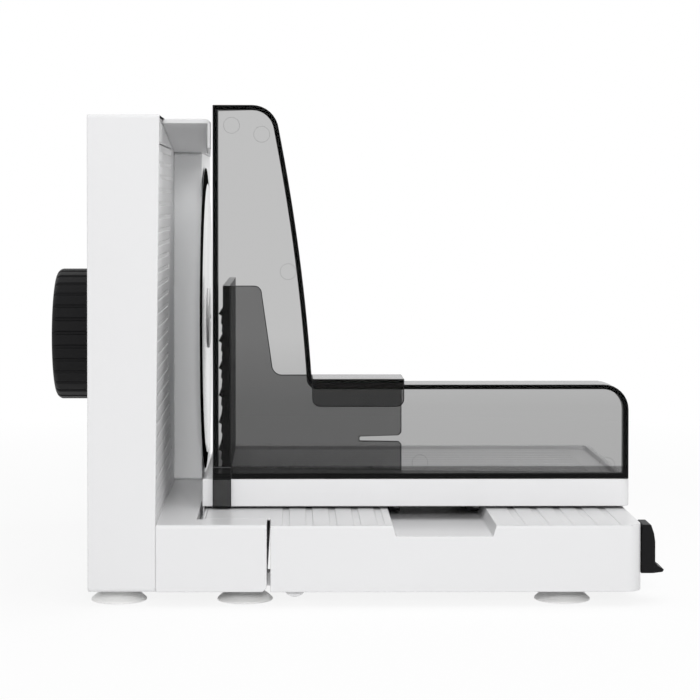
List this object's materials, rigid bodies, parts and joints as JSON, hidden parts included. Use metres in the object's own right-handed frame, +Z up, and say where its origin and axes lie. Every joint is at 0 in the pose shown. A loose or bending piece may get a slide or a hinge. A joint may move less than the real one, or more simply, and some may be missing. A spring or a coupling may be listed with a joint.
{
  "type": "food slicer",
  "caption": "Electric food slicer with a round blade, adjustable stop plate with knob, sliding carriage with smoked wall and toothed pusher, and a folding table on suction feet.",
  "frame": {"origin": "middle of the outline on the surface that the feet stand on", "axes": "+X from the setting knob to the table's end, +Y away from the operator along the carriage travel, +Z up"},
  "size_m": [0.297, 0.283, 0.2413],
  "materials": {
    "white_plastic": "gloss",
    "plate_plastic": "satin",
    "grey_plastic": "satin",
    "blade_steel": "polished, turned",
    "machined_steel": "machined",
    "spring_steel": "drawn wire",
    "zinc_screws": "zinc plated",
    "brass": "machined",
    "bronze": "sintered",
    "gear_nylon": "natural nylon",
    "dark_nylon": "satin",
    "motor_case": "zinc plated",
    "black_plastic": "satin",
    "key_grey": "satin",
    "lock_plastic": "satin",
    "runner_grey": "low friction",
    "foot_rubber": "soft vinyl",
    "smoked_clear": "clear smoked plastic"
  },
  "bodies": {
    "housing": {"housing_shell": "white_plastic", "side_panel": "plate_plastic", "gear_housing": "grey_plastic", "top_hood": "grey_plastic", "base_body": "white_plastic", "folding_table": "white_plastic", "hinge_pins": "machined_steel", "suction_feet": "foot_rubber", "base_screws": "zinc_screws", "cord_gland": "dark_nylon", "switch_bezel": "dark_nylon", "microswitches": "dark_nylon", "blade_bearing": "bronze", "rear_bearing": "bronze", "idler_axle": "machined_steel", "motor": "motor_case", "motor_bracket": "zinc_screws", "motor_screws": "zinc_screws", "latch_pin": "machined_steel", "latch_spring": "spring_steel", "power_spring": "spring_steel", "safety_spring": "spring_steel"},
    "blade_group": {"blade": "blade_steel", "blade_shaft": "machined_steel", "blade_gear": "gear_nylon", "blade_lock": "lock_plastic"},
    "idler": {"idler_gear": "gear_nylon"},
    "rotor": {"motor_pinion": "brass"},
    "stop_plate_group": {"stop_plate": "plate_plastic", "guide_rods": "machined_steel", "spindle": "gear_nylon"},
    "knob": {"thickness_knob": "black_plastic", "spindle_nut": "dark_nylon"},
    "power_key": {"power_button": "black_plastic"},
    "safety_key": {"safety_button": "key_grey"},
    "latch": {"fold_latch": "black_plastic"},
    "carriage": {"carriage_tray": "white_plastic", "carriage_wall": "smoked_clear", "carriage_runners": "runner_grey"},
    "pusher": {"pusher_body": "smoked_clear", "press_plate": "black_plastic"}
  },
  "joints": [
    {"name": "blade_spin", "type": "hinge", "parent": "housing", "child": "blade_group", "pos_m": [-0.07885, 0.0535, 0.127], "axis": [1, 0, 0], "continuous": true},
    {"name": "idler_spin", "type": "hinge", "parent": "housing", "child": "idler", "pos_m": [-0.10785, 0.0805, 0.17377], "axis": [1, 0, 0], "continuous": true},
    {"name": "motor_spin", "type": "hinge", "parent": "housing", "child": "rotor", "pos_m": [-0.10785, 0.10869, 0.18403], "axis": [1, 0, 0], "continuous": true},
    {"name": "knob_turn", "type": "hinge", "parent": "housing", "child": "knob", "pos_m": [-0.12785, -0.0865, 0.127], "axis": [1, 0, 0], "range_deg": [0, 300]},
    {"name": "stop_plate_slide", "type": "slide", "parent": "housing", "child": "stop_plate_group", "axis": [1, 0, 0], "range_m": [0, 0.016]},
    {"name": "power_press", "type": "slide", "parent": "housing", "child": "power_key", "axis": [1, 0, 0], "range_m": [0, 0.0022], "stiffness_N_per_m": 500, "springref_m": -0.002, "deforming": ["power_spring"]},
    {"name": "safety_press", "type": "slide", "parent": "housing", "child": "safety_key", "axis": [1, 0, 0], "range_m": [0, 0.0022], "stiffness_N_per_m": 500, "springref_m": -0.002, "deforming": ["safety_spring"]},
    {"name": "fold_latch_swing", "type": "hinge", "parent": "housing", "child": "latch", "pos_m": [0.13115, -0.125, 0.033], "axis": [0, -1, 0], "range_deg": [0, 10], "stiffness_Nm_per_rad": 0.3, "springref_deg": -11.46},
    {"name": "carriage_slide", "type": "slide", "parent": "housing", "child": "carriage", "axis": [0, 1, 0], "range_m": [-0.035, 0.12]},
    {"name": "pusher_slide", "type": "slide", "parent": "carriage", "child": "pusher", "axis": [1, 0, 0], "range_m": [0, 0.088]}
  ],
  "couplings": [
    {"joint": "idler_spin", "follows": "blade_spin", "ratio": -5},
    {"joint": "motor_spin", "follows": "blade_spin", "ratio": 20},
    {"joint": "stop_plate_slide", "follows": "knob_turn", "m_per_rad": 0.0030558}
  ]
}
